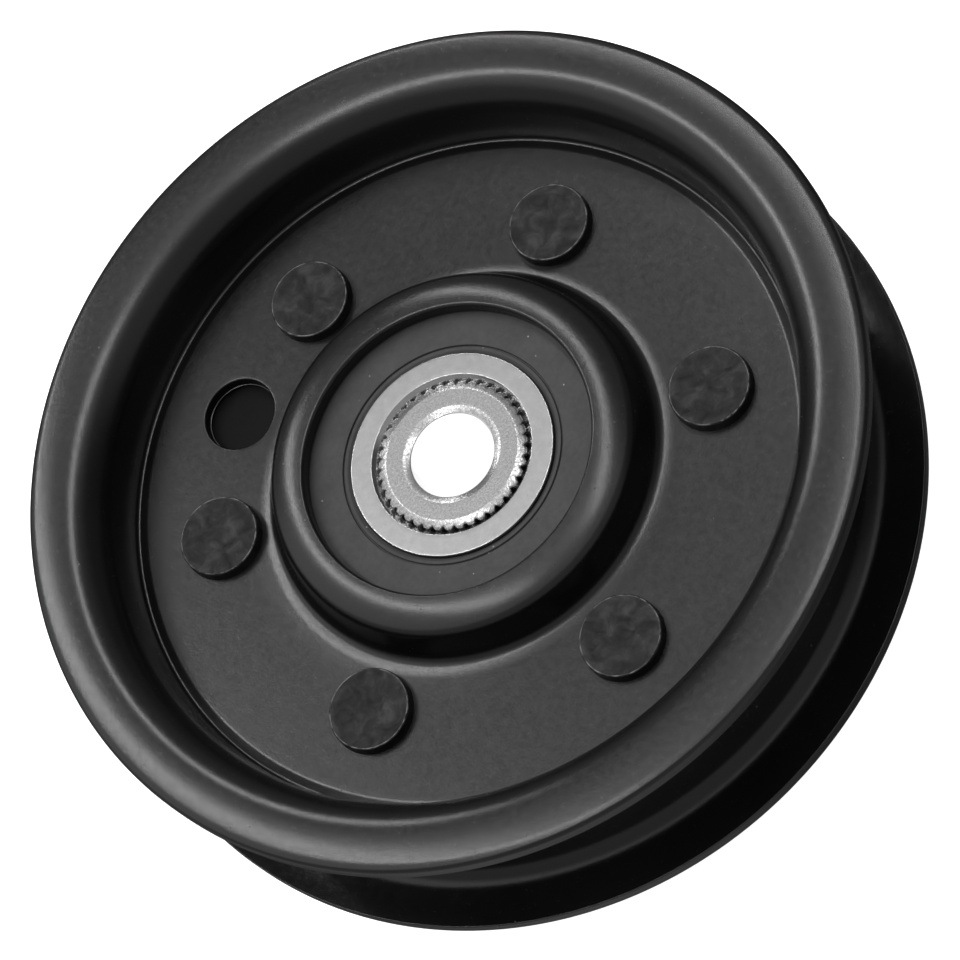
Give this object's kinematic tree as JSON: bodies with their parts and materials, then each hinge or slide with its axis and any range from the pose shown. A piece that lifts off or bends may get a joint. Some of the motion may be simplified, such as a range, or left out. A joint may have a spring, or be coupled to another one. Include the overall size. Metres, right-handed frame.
{
  "type": "belt tensioner idler pulley",
  "caption": "Flat belt idler pulley with two flanges, pressed from two black steel halves riveted around a sealed ball bearing with a serrated bolt sleeve.",
  "frame": {"origin": "centre of the bearing and of the bolt hole, on the plane where the two halves meet", "axes": "+Z along the spin axis, out of the front face, the side with the serrated collar; +X and +Y in the plane where the halves meet, with a rivet at 30 degrees from +X"},
  "size_m": [0.1016, 0.1016, 0.0248],
  "materials": {
    "black_ecoat": "satin black electro-coat on pressed steel",
    "rivet_finish": "blackened steel rivet heads, mottled and rubbed bright at the rim",
    "bearing_steel": "ground bearing steel",
    "ball_steel": "polished bearing balls",
    "cage_steel": "pressed sheet steel",
    "seal_rubber": "matt black nitrile rubber",
    "sintered_steel": "speckled sintered steel"
  },
  "bodies": {
    "core": {"inner_race": "bearing_steel", "bolt_sleeve": "sintered_steel"},
    "pulley": {"front_sheave_half": "black_ecoat", "rear_sheave_half": "black_ecoat", "rivet_1": "rivet_finish", "rivet_2": "rivet_finish", "rivet_3": "rivet_finish", "rivet_4": "rivet_finish", "rivet_5": "rivet_finish", "rivet_6": "rivet_finish", "outer_race": "bearing_steel", "front_seal": "seal_rubber", "front_seal_core": "cage_steel", "rear_seal": "seal_rubber", "rear_seal_core": "cage_steel"},
    "cage": {"cage_front": "cage_steel", "cage_rear": "cage_steel", "cage_rivets": "cage_steel"},
    "ball_1": {"ball_1": "ball_steel"},
    "ball_2": {"ball_2": "ball_steel"},
    "ball_3": {"ball_3": "ball_steel"},
    "ball_4": {"ball_4": "ball_steel"},
    "ball_5": {"ball_5": "ball_steel"},
    "ball_6": {"ball_6": "ball_steel"},
    "ball_7": {"ball_7": "ball_steel"},
    "ball_8": {"ball_8": "ball_steel"}
  },
  "joints": [
    {"name": "pulley_spin", "type": "hinge", "parent": "core", "child": "pulley", "pos_m": [0, 0, 0], "axis": [0, 0, 1], "continuous": true},
    {"name": "cage_spin", "type": "hinge", "parent": "core", "child": "cage", "pos_m": [0, 0, 0], "axis": [0, 0, 1], "continuous": true},
    {"name": "ball_1_roll", "type": "hinge", "parent": "cage", "child": "ball_1", "pos_m": [0.01425, 0, 0], "axis": [0, 0, 1], "continuous": true},
    {"name": "ball_2_roll", "type": "hinge", "parent": "cage", "child": "ball_2", "pos_m": [0.01008, 0.01008, 0], "axis": [0, 0, 1], "continuous": true},
    {"name": "ball_3_roll", "type": "hinge", "parent": "cage", "child": "ball_3", "pos_m": [0, 0.01425, 0], "axis": [0, 0, 1], "continuous": true},
    {"name": "ball_4_roll", "type": "hinge", "parent": "cage", "child": "ball_4", "pos_m": [-0.01008, 0.01008, 0], "axis": [0, 0, 1], "continuous": true},
    {"name": "ball_5_roll", "type": "hinge", "parent": "cage", "child": "ball_5", "pos_m": [-0.01425, 0, 0], "axis": [0, 0, 1], "continuous": true},
    {"name": "ball_6_roll", "type": "hinge", "parent": "cage", "child": "ball_6", "pos_m": [-0.01008, -0.01008, 0], "axis": [0, 0, 1], "continuous": true},
    {"name": "ball_7_roll", "type": "hinge", "parent": "cage", "child": "ball_7", "pos_m": [0, -0.01425, 0], "axis": [0, 0, 1], "continuous": true},
    {"name": "ball_8_roll", "type": "hinge", "parent": "cage", "child": "ball_8", "pos_m": [0.01008, -0.01008, 0], "axis": [0, 0, 1], "continuous": true}
  ],
  "couplings": [
    {"joint": "cage_spin", "follows": "pulley_spin", "ratio": 0.61837},
    {"joint": "ball_1_roll", "follows": "pulley_spin", "ratio": 1.9937},
    {"joint": "ball_2_roll", "follows": "pulley_spin", "ratio": 1.9937},
    {"joint": "ball_3_roll", "follows": "pulley_spin", "ratio": 1.9937},
    {"joint": "ball_4_roll", "follows": "pulley_spin", "ratio": 1.9937},
    {"joint": "ball_5_roll", "follows": "pulley_spin", "ratio": 1.9937},
    {"joint": "ball_6_roll", "follows": "pulley_spin", "ratio": 1.9937},
    {"joint": "ball_7_roll", "follows": "pulley_spin", "ratio": 1.9937},
    {"joint": "ball_8_roll", "follows": "pulley_spin", "ratio": 1.9937}
  ]
}
